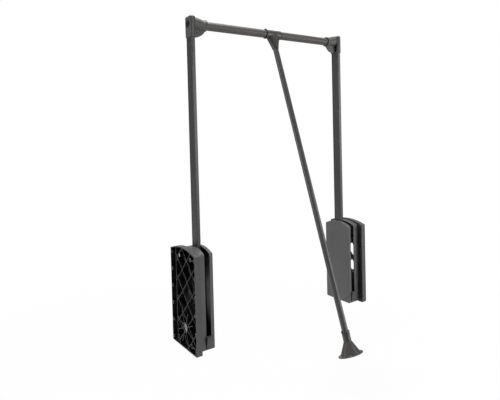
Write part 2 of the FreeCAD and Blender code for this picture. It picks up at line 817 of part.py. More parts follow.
# Sleeve that turns on the rail, flared into a socket for the pull rod.
def tee_sleeve():
    half = tee_length / 2
    left = tee_x - half
    right = tee_x + half
    top = rail_height + tee_radius
    sleeve = pin_along_x(tee_radius, left, right, arm_y, rail_height)
    left_rim = pin_along_x(tee_radius + 0.9, left, left + 2.6, arm_y, rail_height)
    right_rim = pin_along_x(tee_radius + 0.4, right - 1.4, right, arm_y, rail_height)
    tab = block(left - 1.0, left + 3.0, arm_y - 2.5, arm_y + 2.5, rail_height, top + 2.0)
    tab = tab.cut(pin_along_x(rail_radius + 0.5, left - 5, right, arm_y, rail_height))
    flare = Part.makeLoft(
        [
            down_oval(half - 2.0, tee_radius - 0.6, 4.0),
            down_oval(19.8, tee_radius - 0.4, 16.0),
            down_oval(socket_radius + 3.2, socket_radius + 1.2, 34.0),
            down_oval(socket_radius, socket_radius, socket_reach),
        ],
        True,
    )
    tee = joined([sleeve, left_rim, right_rim, tab, tilted(flare)])
    pin_height = rail_height - socket_pin_reach
    pin_bore = pin_along_x(socket_pin_radius, left, right, arm_y, pin_height)
    bores = [
        pin_along_x(rail_radius + running_gap, left - 1, right + 1, arm_y, rail_height),
        pin_along_x(rail_radius + 0.6, left - 2, left + 1.2, arm_y, rail_height),
        pin_along_x(rail_radius + 0.6, right - 1.2, right + 1, arm_y, rail_height),
        tilted(down_pin(rod_radius + 0.05, rod_start - 0.2, socket_reach + 5)),
        tilted(pin_bore),
    ]
    return cut_all(tee, bores)


def pull_rod():
    end = foot_start + foot_collar_length
    rod = down_pin(rod_radius, rod_start, end)
    rod = rod.cut(down_pin(rod_radius - rod_wall, rod_start - 1, end + 1))
    reach = 2 * rod_radius
    pin_height = rail_height - socket_pin_reach
    screw_height = rail_height - foot_start - foot_screw_drop
    bores = [
        pin_along_x(socket_pin_radius, tee_x - reach, tee_x + reach, arm_y, pin_height),
        pin_along_y(socket_pin_radius, arm_y - reach, arm_y + reach, tee_x, screw_height),
    ]
    return tilted(cut_all(rod, bores))


def socket_pin():
    half = socket_radius + 1.6
    pin_height = rail_height - socket_pin_reach
    radius = socket_pin_radius - 0.03
    return tilted(pin_along_x(radius, tee_x - half, tee_x + half, arm_y, pin_height))


# Bell-shaped foot of the rod: notched collar, conical skirt and a thin oval flange.
def bell_foot():
    top = foot_start
    collar_end = top + foot_collar_length
    skirt_end = collar_end + foot_flare_length
    end = skirt_end + foot_flange_thickness
    rim = down_pin(foot_collar_radius + 0.5, top, top + 5.0)
    collar = down_pin(foot_collar_radius, top + 2, collar_end + 0.5)
    skirt = Part.makeLoft(
        [
            down_oval(foot_neck_radius, foot_neck_radius, collar_end - 1),
            down_oval(foot_flare_x, foot_flare_y, skirt_end + 1),
        ],
        True,
    )
    flange = Part.Face(down_oval(foot_flange_x, foot_flange_y, end))
    flange = flange.extrude(point(0, 0, foot_flange_thickness))
    flange = flange.makeFillet(1.0, flange.Edges)
    bell = joined([rim, collar, skirt, flange])
    rim_height = rail_height - top
    notch_floor = rim_height - 3.0
    screw_height = rim_height - foot_screw_drop
    cuts = [
        down_pin(rod_radius + 0.05, top - 1, collar_end + play),
        block(tee_x - 20, tee_x + 20, arm_y - 2.6, arm_y + 2.6, notch_floor, rim_height + 1),
        pin_along_y(foot_screw_radius, arm_y - 25, arm_y, tee_x, screw_height),
    ]
    return tilted(cut_all(bell, cuts))


def foot_screw():
    height = rail_height - foot_start - foot_screw_drop
    head_y = arm_y - foot_collar_radius + 0.5
    shank = pin_along_y(socket_pin_radius - 0.05, head_y, head_y + 8.0, tee_x, height)
    head = pin_along_y(foot_screw_radius - 0.1, head_y, head_y + 1.2, tee_x, height)
    return tilted(head.fuse(shank).removeSplitter())


wall_pieces = {
    "housing_body": body_shell(),
    "housing_cover": cover_shell(),
    "stop_block": stop_block(),
    "rest_pad": rest_pad(),
    "pivot_axle": pivot_axle(),
    "pivot_bushes": pivot_bushes(),
    "case_screws": case_screws(),
    "frame_screw": frame_screw(),
    "spring_anchor_pin": spring_anchor_pin(),
    "tension_spring": tension_spring(),
    "spring_pin": spring_pin(),
    "arm_hub": arm_hub(),
    "arm_tube": arm_tube(),
    "hub_rivets": hub_rivets(),
    "corner_connector": corner_connector(),
    "corner_screw": corner_screw(),
    "rail_plug": rail_plug(),
}

parts = {}
for side in ("left", "right"):
    parts[side + "_mounting_frame"] = on_side(mounting_frame(side), side)
    for name, shape in wall_pieces.items():
        parts[side + "_" + name] = on_side(shape, side)

bush_half = tee_bush_length / 2
parts["left_rail_tube"] = rail_tube(tee_x - bush_half)
parts["right_rail_tube"] = on_side(rail_tube(width - tee_x - bush_half), "right")
parts["core_tube"] = core_tube()
parts["tee_bush"] = tee_bush()
parts["tee_sleeve"] = tee_sleeve()
parts["pull_rod"] = pull_rod()
parts["socket_pin"] = socket_pin()
parts["bell_foot"] = bell_foot()
parts["foot_screw"] = foot_screw()

wall_screw_middle_y = (wall_boss_back_y + wall_boss_front_y) / 2
wall_screw_middle_z = wall_boss_first_z + wall_boss_step * (wall_boss_count - 1) / 2

os.makedirs("parts", exist_ok=True)
for name, shape in parts.items():
    placed = shape.copy()
    placed.translate(point(0, -wall_screw_middle_y, -wall_screw_middle_z))
    placed.exportStep("parts/" + name + ".step")
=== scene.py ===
import math
import bpy
from mathutils import Matrix, Vector


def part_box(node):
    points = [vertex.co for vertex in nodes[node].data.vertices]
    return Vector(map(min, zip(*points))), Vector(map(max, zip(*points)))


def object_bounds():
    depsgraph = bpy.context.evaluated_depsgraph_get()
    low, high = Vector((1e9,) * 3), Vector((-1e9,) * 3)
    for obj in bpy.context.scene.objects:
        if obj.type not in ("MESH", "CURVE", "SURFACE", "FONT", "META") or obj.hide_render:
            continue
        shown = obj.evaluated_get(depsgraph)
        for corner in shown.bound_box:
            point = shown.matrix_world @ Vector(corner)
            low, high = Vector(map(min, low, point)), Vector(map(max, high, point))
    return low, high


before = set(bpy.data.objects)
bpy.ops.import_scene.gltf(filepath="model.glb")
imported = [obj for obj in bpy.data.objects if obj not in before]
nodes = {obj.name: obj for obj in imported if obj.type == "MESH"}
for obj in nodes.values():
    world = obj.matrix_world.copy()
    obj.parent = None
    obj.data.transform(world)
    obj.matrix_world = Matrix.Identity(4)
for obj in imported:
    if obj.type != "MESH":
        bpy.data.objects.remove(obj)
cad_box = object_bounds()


# ---- Mounting frames ----------------------------------------------------------------------
# Open ribbed trays, moulded in anthracite nylon and screwed to the two side walls. Their
# lattice is left as it comes from the mould, with a fine spark-eroded grain.

SIDES = ("left", "right")


def both(piece):
    """The left and the right node of a piece."""
    return [side + "_" + piece for side in SIDES]


def new_group(name, inputs, outputs):
    """An empty shader group with named value inputs; outputs are (name, socket type)."""
    group = bpy.data.node_groups.new(name, "ShaderNodeTree")
    for label, value in inputs:
        socket = group.interface.new_socket(label, in_out="INPUT", socket_type="NodeSocketFloat")
        socket.default_value = value
    for label, kind in outputs:
        group.interface.new_socket(label, in_out="OUTPUT", socket_type=kind)
    return group, group.nodes.new("NodeGroupInput"), group.nodes.new("NodeGroupOutput")


def math_node(tree, operation, first, second=None):
    """A Math node fed by sockets or plain numbers; gives its output socket."""
    made = tree.nodes.new("ShaderNodeMath")
    made.operation = operation
    for slot, source in enumerate((first, second)):
        if source is None:
            continue
        if isinstance(source, (int, float)):
            made.inputs[slot].default_value = source
        else:
            tree.links.new(source, made.inputs[slot])
    return made.outputs[0]


def noise_at(tree, coordinates, scale, detail=2.0, roughness=0.5):
    """A noise texture whose scale is a number or a socket; gives its value socket."""
    made = tree.nodes.new("ShaderNodeTexNoise")
    made.inputs["Detail"].default_value = detail
    made.inputs["Roughness"].default_value = roughness
    tree.links.new(coordinates, made.inputs["Vector"])
    if isinstance(scale, (int, float)):
        made.inputs["Scale"].default_value = scale
    else:
        tree.links.new(scale, made.inputs["Scale"])
    return made.outputs["Fac"]


def ramp(tree, value, low, high, to_low=0.0, to_high=1.0):
    """Smooth step of a value from low..high to to_low..to_high."""
    made = tree.nodes.new("ShaderNodeMapRange")
    made.interpolation_type = "SMOOTHSTEP"
    tree.links.new(value, made.inputs["Value"])
    made.inputs["From Min"].default_value = low
    made.inputs["From Max"].default_value = high
    made.inputs["To Min"].default_value = to_low
    made.inputs["To Max"].default_value = to_high
    return made.outputs["Result"]


def object_place(tree):
    """Object coordinates, in metres from the part's origin."""
    return tree.nodes.new("ShaderNodeTexCoord").outputs["Object"]


def build_mould_grain():
    """Spark-eroded mould texture: fine pits, and slow flow marks in tone."""
    group, given, out = new_group(
        "mould grain",
        [("Grains Per Metre", 2600.0), ("Flow Marks Per Metre", 14.0)],
        [("Height", "NodeSocketFloat"), ("Flow", "NodeSocketFloat")],
    )
    place = object_place(group)
    fine = noise_at(group, place, given.outputs["Grains Per Metre"], 3.0, 0.6)
    cells = group.nodes.new("ShaderNodeTexVoronoi")
    cells.feature = "SMOOTH_F1"
    cells.inputs["Smoothness"].default_value = 0.6
    group.links.new(place, cells.inputs["Vector"])
    group.links.new(given.outputs["Grains Per Metre"], cells.inputs["Scale"])
    pits = math_node(group, "MULTIPLY", cells.outputs["Distance"], 0.6)
    group.links.new(math_node(group, "ADD", fine, pits), out.inputs["Height"])
    flow = noise_at(group, place, given.outputs["Flow Marks Per Metre"], 4.0, 0.55)
    group.links.new(ramp(group, flow, 0.3, 0.7), out.inputs["Flow"])
    return group


def build_edge_wear():
    """Where the surface turns an edge: a mask for rubbed corners, and the rounded normal."""
    group, given, out = new_group(
        "edge wear",
        [("Edge Width", 0.0006), ("Patches Per Metre", 90.0)],
        [("Worn", "NodeSocketFloat"), ("Rounded Normal", "NodeSocketVector")],
    )
    rounding = group.nodes.new("ShaderNodeBevel")
    rounding.samples = 6
    group.links.new(given.outputs["Edge Width"], rounding.inputs["Radius"])
    surface = group.nodes.new("ShaderNodeNewGeometry")
    facing = group.nodes.new("ShaderNodeVectorMath")
    facing.operation = "DOT_PRODUCT"
    group.links.new(rounding.outputs["Normal"], facing.inputs[0])
    group.links.new(surface.outputs["Normal"], facing.inputs[1])
    turned = ramp(group, facing.outputs["Value"], 0.985, 0.80)
    patches = noise_at(group, object_place(group), given.outputs["Patches Per Metre"], 5.0, 0.65)
    rubbed = math_node(group, "MULTIPLY", turned, ramp(group, patches, 0.35, 0.65))
    group.links.new(rubbed, out.inputs["Worn"])
    group.links.new(rounding.outputs["Normal"], out.inputs["Rounded Normal"])
    return group


def build_settled_dust():
    """A thin veil of dust on surfaces that face up, broken up by handling."""
    group, given, out = new_group(
        "settled dust",
        [("Specks Per Metre", 900.0)],
        [("Dust", "NodeSocketFloat")],
    )
    surface = group.nodes.new("ShaderNodeNewGeometry")
    parts = group.nodes.new("ShaderNodeSeparateXYZ")
    group.links.new(surface.outputs["Normal"], parts.inputs["Vector"])
    level = ramp(group, parts.outputs["Z"], 0.35, 0.95)
    place = object_place(group)
    specks = ramp(group, noise_at(group, place, given.outputs["Specks Per Metre"], 4.0, 0.7), 0.45, 0.75)
    drifts = ramp(group, noise_at(group, place, 35.0, 3.0, 0.5), 0.35, 0.7, 0.35, 1.0)
    veil = math_node(group, "MULTIPLY", level, math_node(group, "MULTIPLY", specks, drifts))
    group.links.new(veil, out.inputs["Dust"])
    return group


def build_recess_shade():
    """How open the surface is: 1 on free faces, falling to 0 deep in cells and slots."""
    group, given, out = new_group(
        "recess shade",
        [("Reach", 0.03), ("Closed At", 0.35), ("Open At", 0.85)],
        [("Open", "NodeSocketFloat")],
    )
    sky = group.nodes.new("ShaderNodeAmbientOcclusion")
    sky.samples = 8
    group.links.new(given.outputs["Reach"], sky.inputs["Distance"])
    step = group.nodes.new("ShaderNodeMapRange")
    step.interpolation_type = "SMOOTHSTEP"
    group.links.new(sky.outputs["AO"], step.inputs["Value"])
    group.links.new(given.outputs["Closed At"], step.inputs["From Min"])
    group.links.new(given.outputs["Open At"], step.inputs["From Max"])
    group.links.new(step.outputs["Result"], out.inputs["Open"])
    return group


mould_grain = build_mould_grain()
edge_wear = build_edge_wear()
settled_dust = build_settled_dust()
recess_shade = build_recess_shade()


def place_group(tree, group, **values):
    """Puts a shader group into a material with its own values."""
    made = tree.nodes.new("ShaderNodeGroup")
    made.node_tree = group
    for label, value in values.items():
        made.inputs[label.replace("_", " ")].default_value = value
    return made


def colour_mix(tree, factor, first, second):
    """Mixes two colours, each a tuple or a socket, by a factor socket."""
    made = tree.nodes.new("ShaderNodeMix")
    made.data_type = "RGBA"
    tree.links.new(factor, made.inputs["Factor"])
    for label, source in (("A", first), ("B", second)):
        socket = [s for s in made.inputs if s.name == label and s.type == "RGBA"][0]
        if isinstance(source, tuple):
            socket.default_value = source + (1.0,)
        else:
            tree.links.new(source, socket)
    return [s for s in made.outputs if s.type == "RGBA"][0]


def new_material(name):
    """A material with an unset Principled shader wired to its output."""
    made = bpy.data.materials.new(name)
    made.use_nodes = True
    made.node_tree.nodes.clear()
    tree = made.node_tree
    shader = tree.nodes.new("ShaderNodeBsdfPrincipled")
    output = tree.nodes.new("ShaderNodeOutputMaterial")
    tree.links.new(shader.outputs["BSDF"], output.inputs["Surface"])
    return made, tree, shader


def bump_on(tree, shader, height, normal, distance):
    """Bumps a shader by a height socket; distance is the relief in metres."""
    made = tree.nodes.new("ShaderNodeBump")
    made.inputs["Distance"].default_value = distance
    tree.links.new(height, made.inputs["Height"])
    tree.links.new(normal, made.inputs["Normal"])
    tree.links.new(made.outputs["Normal"], shader.inputs["Normal"])


DUST_COLOUR = (0.30, 0.29, 0.28)
CORNER_RUB = 0.6  # share of the worn colour on a rubbed corner
FLOW_ROUGHENS = 0.08
WEAR_POLISHES = -0.10


def moulded_plastic(
    name,
    colour,
    flow_colour,
    worn_colour,
    rough,
    grains,
    depth,
    edge=0.0006,
    dust=0.2,
    recess=(0.012, 0.25, 0.75),
    painted_shade_colour=(0.012, 0.012, 0.012),
):
    """Grained moulded plastic: two tones of flow, pale rubbed edges, a little dust on top, and painted
    shade deep in its hollows.
    """
    made, tree, shader = new_material(name)
    grain = place_group(tree, mould_grain, Grains_Per_Metre=grains)
    wear = place_group(tree, edge_wear, Edge_Width=edge)
    dusty = place_group(tree, settled_dust)
    shade = place_group(tree, recess_shade, Reach=recess[0], Closed_At=recess[1], Open_At=recess[2])
    base = colour_mix(tree, grain.outputs["Flow"], colour, flow_colour)
    corners = math_node(tree, "MULTIPLY", wear.outputs["Worn"], CORNER_RUB)
    rubbed = colour_mix(tree, corners, base, worn_colour)
    veil = math_node(tree, "MULTIPLY", dusty.outputs["Dust"], dust)
    dusted = colour_mix(tree, veil, rubbed, DUST_COLOUR)
    # Painted shade: deep in cells, slots and hollows the colour is darkened to near black.
    shaded = colour_mix(tree, shade.outputs["Open"], painted_shade_colour, dusted)
    tree.links.new(shaded, shader.inputs["Base Color"])
    level = math_node(tree, "MULTIPLY_ADD", grain.outputs["Flow"], FLOW_ROUGHENS)
    level.node.inputs[2].default_value = rough
    polished = math_node(tree, "MULTIPLY", wear.outputs["Worn"], WEAR_POLISHES)
    tree.links.new(math_node(tree, "ADD", level, polished), shader.inputs["Roughness"])
    bump_on(tree, shader, grain.outputs["Height"], wear.outputs["Rounded Normal"], depth)
    return made


def finish_with(material, names):
    """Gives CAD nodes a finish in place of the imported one."""
    for name in names:
        slots = nodes[name].data.materials
        for index in range(len(slots)):
            slots[index] = material


# Painted shade: the cells between the ribs are darkened to near black.
frame_nylon = moulded_plastic(
    "frame_nylon",
    colour=(0.059, 0.059, 0.059),
    flow_colour=(0.069, 0.068, 0.068),
    worn_colour=(0.14, 0.14, 0.142),
    rough=0.50,
    grains=2200.0,
    depth=0.00003,
    recess=(0.045, 0.68, 1.0),
    painted_shade_colour=(0.006, 0.006, 0.006),
)
finish_with(frame_nylon, both("mounting_frame"))


# ---- Housing bodies and covers --------------------------------------------------------------
# Two moulded shells that close round the spring and the foot of the arm. They are polished a
# little finer than the frames, so the cover shows a soft sheen across its face.

# Painted shade: the slot and the inside of the shells are darkened to near black.
shell_plastic = moulded_plastic(
    "shell_plastic",
    colour=(0.076, 0.076, 0.076),
    flow_colour=(0.088, 0.087, 0.087),
    worn_colour=(0.18, 0.18, 0.182),
    rough=0.42,
    grains=3000.0,
    depth=0.00002,
    recess=(0.030, 0.42, 0.80),
    painted_shade_colour=(0.004, 0.004, 0.004),
)
finish_with(shell_plastic, both("housing_body") + both("housing_cover"))


# ---- Stop blocks and rest pads ----------------------------------------------------------------
# The stop is a glass-filled nylon wedge in the foot of the slot. The pad behind the upright arm
# is soft black rubber with a talc bloom.

stop_nylon = moulded_plastic(
    "stop_nylon",
    colour=(0.048, 0.048, 0.048),
    flow_colour=(0.058, 0.057, 0.057),
    worn_colour=(0.15, 0.15, 0.152),
    rough=0.5,
    grains=1500.0,
    depth=0.00004,
)
finish_with(stop_nylon, both("stop_block"))

pad_rubber = moulded_plastic(
    "pad_rubber",
    colour=(0.018, 0.018, 0.019),
    flow_colour=(0.032, 0.031, 0.031),
    worn_colour=(0.05, 0.05, 0.05),
    rough=0.78,
    grains=1100.0,
    depth=0.00006,
    dust=0.6,
)
finish_with(pad_rubber, both("rest_pad"))


# ---- Axles, bushes, pins and screws -------------------------------------------------------------
# The arm turns on a turned steel axle in black acetal bushes, and the rail's plugs are acetal too.
# The pins that hold the spring and the frame's top screw are bright zinc-plated steel. The other
# screws, and the pin that holds the rod in the tee, are blackened.

def build_turning_marks():
    """Fine rings left by a lathe round an axis along X through the piece's own centre."""
    group, given, out = new_group(
        "turning marks",
        [("Rings Per Metre", 2400.0), ("Centre Y", 0.0), ("Centre Z", 0.0)],
        [("Height", "NodeSocketFloat"), ("Streak", "NodeSocketFloat")],
    )
    parts = group.nodes.new("ShaderNodeSeparateXYZ")
    group.links.new(object_place(group), parts.inputs["Vector"])
    across = math_node(group, "SUBTRACT", parts.outputs["Y"], given.outputs["Centre Y"])
    above = math_node(group, "SUBTRACT", parts.outputs["Z"], given.outputs["Centre Z"])
    across_squared = math_node(group, "MULTIPLY", across, across)
    above_squared = math_node(group, "MULTIPLY", above, above)
    squares = math_node(group, "ADD", across_squared, above_squared)
    along = math_node(group, "ADD", math_node(group, "SQRT", squares), parts.outputs["X"])
    turns = math_node(group, "MULTIPLY", along, given.outputs["Rings Per Metre"])
    marks = group.nodes.new("ShaderNodeTexNoise")
    marks.noise_dimensions = "1D"
    marks.inputs["Scale"].default_value = 1.0
    marks.inputs["Detail"].default_value = 3.0
    group.links.new(turns, marks.inputs["W"])
    group.links.new(marks.outputs["Fac"], out.inputs["Height"])
    group.links.new(ramp(group, marks.outputs["Fac"], 0.3, 0.7), out.inputs["Streak"])
    return group


turning_marks = build_turning_marks()
STREAK_ROUGHENS = 0.12
FINE_RELIEF = 0.00001


def turned_steel(name, colour, dull_colour, rough, centre, rings=2400.0):
    """Plated steel with lathe rings round its own axis and faint tarnish."""
    made, tree, shader = new_material(name)
    middle_y, middle_z = centre
    lathe = place_group(
        tree, turning_marks, Rings_Per_Metre=rings, Centre_Y=middle_y, Centre_Z=middle_z
    )
    wear = place_group(tree, edge_wear, Edge_Width=0.0003)
    tarnish = noise_at(tree, object_place(tree), 160.0, 4.0, 0.6)
    base = colour_mix(tree, ramp(tree, tarnish, 0.4, 0.75), colour, dull_colour)
    tree.links.new(base, shader.inputs["Base Color"])
    shader.inputs["Metallic"].default_value = 1.0
    level = math_node(tree, "MULTIPLY_ADD", lathe.outputs["Streak"], STREAK_ROUGHENS)
    level.node.inputs[2].default_value = rough
    tree.links.new(level, shader.inputs["Roughness"])
    bump_on(tree, shader, lathe.outputs["Height"], wear.outputs["Rounded Normal"], FINE_RELIEF)
    return made


def middle_of(name):
    """Middle of a CAD node's box."""
    low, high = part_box(name)
    return (low + high) / 2


pivot_middle = middle_of("left_pivot_axle")
axle_steel = turned_steel(
    "axle_steel", (0.34, 0.34, 0.345), (0.24, 0.24, 0.245), 0.34, (pivot_middle.y, pivot_middle.z)
)
finish_with(axle_steel, both("pivot_axle"))

for piece in ("spring_anchor_pin", "spring_pin", "frame_screw"):
    pin_middle = middle_of("left_" + piece)
    pin_steel = turned_steel(
        piece + "_steel", (0.48, 0.47, 0.45), (0.34, 0.33, 0.32), 0.42, (pin_middle.y, pin_middle.z)
    )
    finish_with(pin_steel, both(piece))

acetal = moulded_plastic(
    "acetal",
    colour=(0.030, 0.030, 0.031),
    flow_colour=(0.038, 0.038, 0.039),
    worn_colour=(0.08, 0.08, 0.08),
    rough=0.3,
    grains=4000.0,
    depth=0.00001,
    dust=0.1,
)
finish_with(acetal, both("pivot_bushes") + both("rail_plug"))


BLACKENED = (0.035, 0.035, 0.037)
BROWNED = (0.06, 0.058, 0.056)
RUBBED_STEEL = (0.30, 0.30, 0.31)


def blackened_steel():
    """Oxide-blacked screw steel, rubbed bright where a driver has turned it."""
    made, tree, shader = new_material("screw_steel")
    wear = place_group(tree, edge_wear, Edge_Width=0.0003, Patches_Per_Metre=700.0)
    blotches = noise_at(tree, object_place(tree), 900.0, 4.0, 0.6)
    base = colour_mix(tree, ramp(tree, blotches, 0.35, 0.7), BLACKENED, BROWNED)
    rubbed = colour_mix(tree, wear.outputs["Worn"], base, RUBBED_STEEL)
    tree.links.new(rubbed, shader.inputs["Base Color"])
    shader.inputs["Metallic"].default_value = 0.85
    tree.links.new(ramp(tree, blotches, 0.3, 0.7, 0.32, 0.48), shader.inputs["Roughness"])
    bump_on(tree, shader, blotches, wear.outputs["Rounded Normal"], FINE_RELIEF)
    return made


screw_steel = blackened_steel()
finish_with(screw_steel, both("case_screws") + both("corner_screw") + ["foot_screw", "socket_pin"])


# ---- Springs --------------------------------------------------------------------------------
# Open-wound tension springs of oiled music wire, a little blued. Their end hooks go over the pin
# on the arm and the anchor pin in the housing.

def drawn_wire():
    """Blued music wire, browned in patches by its oil."""
    made, tree, shader = new_material("spring_wire")
    place = object_place(tree)
    blue = ramp(tree, noise_at(tree, place, 60.0, 3.0, 0.5), 0.35, 0.7)
    base = colour_mix(tree, blue, (0.22, 0.22, 0.23), (0.15, 0.155, 0.18))
    oil = ramp(tree, noise_at(tree, place, 240.0, 4.0, 0.6), 0.5, 0.8)
    tree.links.new(colour_mix(tree, oil, base, (0.10, 0.085, 0.06)), shader.inputs["Base Color"])
    shader.inputs["Metallic"].default_value = 1.0
    tree.links.new(ramp(tree, oil, 0.0, 1.0, 0.30, 0.18), shader.inputs["Roughness"])
    wear = place_group(tree, edge_wear, Edge_Width=0.0002)
    draw_marks = noise_at(tree, place, 3000.0, 2.0)
    bump_on(tree, shader, draw_marks, wear.outputs["Rounded Normal"], FINE_RELIEF)
    return made


finish_with(drawn_wire(), both("tension_spring"))


# ---- Arm hubs and rivets ----------------------------------------------------------------------
# Die-cast zinc feet of the arms, which turn on the axles. They are painted with the tubes and
# held in them by two flat rivets.

cast_zinc = moulded_plastic(
    "cast_zinc",
    colour=(0.085, 0.085, 0.088),
    flow_colour=(0.10, 0.10, 0.103),
    worn_colour=(0.34, 0.34, 0.35),
    rough=0.45,
    grains=900.0,
    depth=0.00005,
)
finish_with(cast_zinc, both("arm_hub") + both("hub_rivets"))


# ---- Arm tubes, rail tubes and pull rod ---------------------------------------------------------
# Steel tubes with a satin anthracite powder coat: a slight orange peel, a fine sparkle, and
# handling marks that run along the tube.

def build_powder_coat():
    """Cured powder paint: orange peel, a mask for the painted glints of its fine sparkle, and scuffs
    along one axis.
    """
    group, given, out = new_group(
        "powder coat",
        [("Peel Per Metre", 420.0), ("Scuff X", 900.0), ("Scuff Y", 900.0), ("Scuff Z", 40.0)],
        [("Height", "NodeSocketFloat"), ("Sparkle", "NodeSocketFloat"), ("Scuff", "NodeSocketFloat")],
    )
    place = object_place(group)
    peel = noise_at(group, place, given.outputs["Peel Per Metre"], 1.5, 0.4)
    grit = noise_at(group, place, 3600.0, 2.0, 0.6)
    group.links.new(
        math_node(group, "ADD", peel, math_node(group, "MULTIPLY", grit, 0.12)), out.inputs["Height"]
    )
    group.links.new(ramp(group, noise_at(group, place, 5200.0, 1.0), 0.60, 0.72), out.inputs["Sparkle"])
    parts = group.nodes.new("ShaderNodeSeparateXYZ")
    group.links.new(place, parts.inputs["Vector"])
    stretched = group.nodes.new("ShaderNodeCombineXYZ")
    for axis in "XYZ":
        scaled = math_node(group, "MULTIPLY", parts.outputs[axis], given.outputs["Scuff " + axis])
        group.links.new(scaled, stretched.inputs[axis])
    lines = noise_at(group, stretched.outputs["Vector"], 1.0, 3.0, 0.6)
    spread = noise_at(group, place, 9.0, 3.0, 0.5)
    marks = math_node(group, "MULTIPLY", ramp(group, lines, 0.60, 0.72), ramp(group, spread, 0.5, 0.65))
    group.links.new(marks, out.inputs["Scuff"])
    return group


powder_coat = build_powder_coat()
SCUFFED_COAT = (0.17, 0.17, 0.175)
BARE_CORNER = (0.20, 0.20, 0.205)
PAINTED_GLINT_SHARE = 0.5
SCUFF_SHARE = 0.35
CORNER_SHARE = 0.35
DUST_SHARE = 0.08
SCUFF_ROUGHENS = 0.12
PEEL_RELIEF = 0.00004


def coated_steel(name, colour, sparkle_colour, scuff, rough):
    """Powder-coated tube; scuff holds the scuff frequencies along X, Y and Z."""
    made, tree, shader = new_material(name)
    paint = place_group(tree, powder_coat, Scuff_X=scuff[0], Scuff_Y=scuff[1], Scuff_Z=scuff[2])
    wear = place_group(tree, edge_wear, Edge_Width=0.0005, Patches_Per_Metre=60.0)
    dusty = place_group(tree, settled_dust)
    # Painted glints: fine pale specks in the base colour stand in for the sparkle of the paint.
    painted_glints = math_node(tree, "MULTIPLY", paint.outputs["Sparkle"], PAINTED_GLINT_SHARE)
    base = colour_mix(tree, painted_glints, colour, sparkle_colour)
    scuffs = math_node(tree, "MULTIPLY", paint.outputs["Scuff"], SCUFF_SHARE)
    scuffed = colour_mix(tree, scuffs, base, SCUFFED_COAT)
    corners = math_node(tree, "MULTIPLY", wear.outputs["Worn"], CORNER_SHARE)
    rubbed = colour_mix(tree, corners, scuffed, BARE_CORNER)
    veil = math_node(tree, "MULTIPLY", dusty.outputs["Dust"], DUST_SHARE)
    tree.links.new(colour_mix(tree, veil, rubbed, DUST_COLOUR), shader.inputs["Base Color"])
    level = math_node(tree, "MULTIPLY_ADD", paint.outputs["Scuff"], SCUFF_ROUGHENS)
    level.node.inputs[2].default_value = rough
    tree.links.new(level, shader.inputs["Roughness"])
    bump_on(tree, shader, paint.outputs["Height"], wear.outputs["Rounded Normal"], PEEL_RELIEF)
    return made


ALONG_X = (40.0, 900.0, 900.0)  # scuffs per metre along X, Y and Z
ALONG_Z = (900.0, 900.0, 40.0)
arm_paint = coated_steel("arm_paint", (0.044, 0.0435, 0.043), (0.11, 0.11, 0.11), ALONG_Z, rough=0.33)
finish_with(arm_paint, both("arm_tube"))

PAINTED_GAP_SHADE = (0.006, 0.006, 0.006)


def paint_gap_shade(material, places, half_width):
    """Painted shade: dark lines round a tube along X, where other pieces end on it."""
    tree = material.node_tree
    shader = [node for node in tree.nodes if node.type == "BSDF_PRINCIPLED"][0]
    paint = shader.inputs["Base Color"].links[0].from_socket
    parts = tree.nodes.new("ShaderNodeSeparateXYZ")
    tree.links.new(object_place(tree), parts.inputs["Vector"])
    lines = None
    for place in places:
        away = math_node(tree, "ABSOLUTE", math_node(tree, "SUBTRACT", parts.outputs["X"], place))
        line = ramp(tree, away, half_width, half_width / 2)
        lines = line if lines is None else math_node(tree, "MAXIMUM", lines, line)
    tree.links.new(colour_mix(tree, lines, paint, PAINTED_GAP_SHADE), shader.inputs["Base Color"])


rail_paint = coated_steel("rail_paint", (0.062, 0.057, 0.053), (0.14, 0.135, 0.13), ALONG_X, rough=0.50)
tee_from, tee_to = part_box("tee_sleeve")
rim_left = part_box("left_corner_connector")[1].x
rim_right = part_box("right_corner_connector")[0].x
# Painted shade: dark rings on the rail at the corners' rims and at both ends of the tee.
paint_gap_shade(rail_paint, (rim_left, tee_from.x, tee_to.x, rim_right), 0.0024)
finish_with(rail_paint, both("rail_tube") + ["tee_bush"])

rod_paint = coated_steel("rod_paint", (0.066, 0.066, 0.066), (0.13, 0.13, 0.13), ALONG_Z, rough=0.34)
finish_with(rod_paint, ["pull_rod"])

core_middle = middle_of("core_tube")
core_steel = turned_steel(
    "core_steel",
    colour=(0.50, 0.50, 0.50),
    dull_colour=(0.42, 0.42, 0.42),
    rough=0.25,
    centre=(core_middle.y, core_middle.z),
    rings=500.0,
)
finish_with(core_steel, ["core_tube"])


# ---- Corner connectors ----------------------------------------------------------------------------
# Injection-moulded corners in much the same anthracite as the housings, capped over the arm's top
# and the rail's end. A screw in the recess on the outer face holds the rail.

# Painted shade: hollows in the corners are darkened towards near black.
corner_plastic = moulded_plastic(
    "corner_plastic",
    colour=(0.070, 0.069, 0.067),
    flow_colour=(0.082, 0.081, 0.079),
    worn_colour=(0.18, 0.177, 0.173),
    rough=0.46,
    grains=2600.0,
    depth=0.00002,
    edge=0.0009,
    recess=(0.018, 0.42, 0.92),
)
finish_with(corner_plastic, both("corner_connector"))


# ---- Tee and bell foot ----------------------------------------------------------------------------
# The rod's two fittings, moulded in a darker and slightly browner nylon that stays glossier. The
# tee is sleeved on the rail and pinned to the rod, and the bell is screwed to the rod's foot.

# Painted shade: hollows in the tee and the bell are darkened towards near black.
handle_plastic = moulded_plastic(
    "handle_plastic",
    colour=(0.046, 0.043, 0.042),
    flow_colour=(0.056, 0.053, 0.051),
    worn_colour=(0.17, 0.165, 0.16),
    rough=0.33,
    grains=2600.0,
    depth=0.00002,
    edge=0.0009,
    recess=(0.010, 0.40, 0.85),
)
finish_with(handle_plastic, ["tee_sleeve", "bell_foot"])


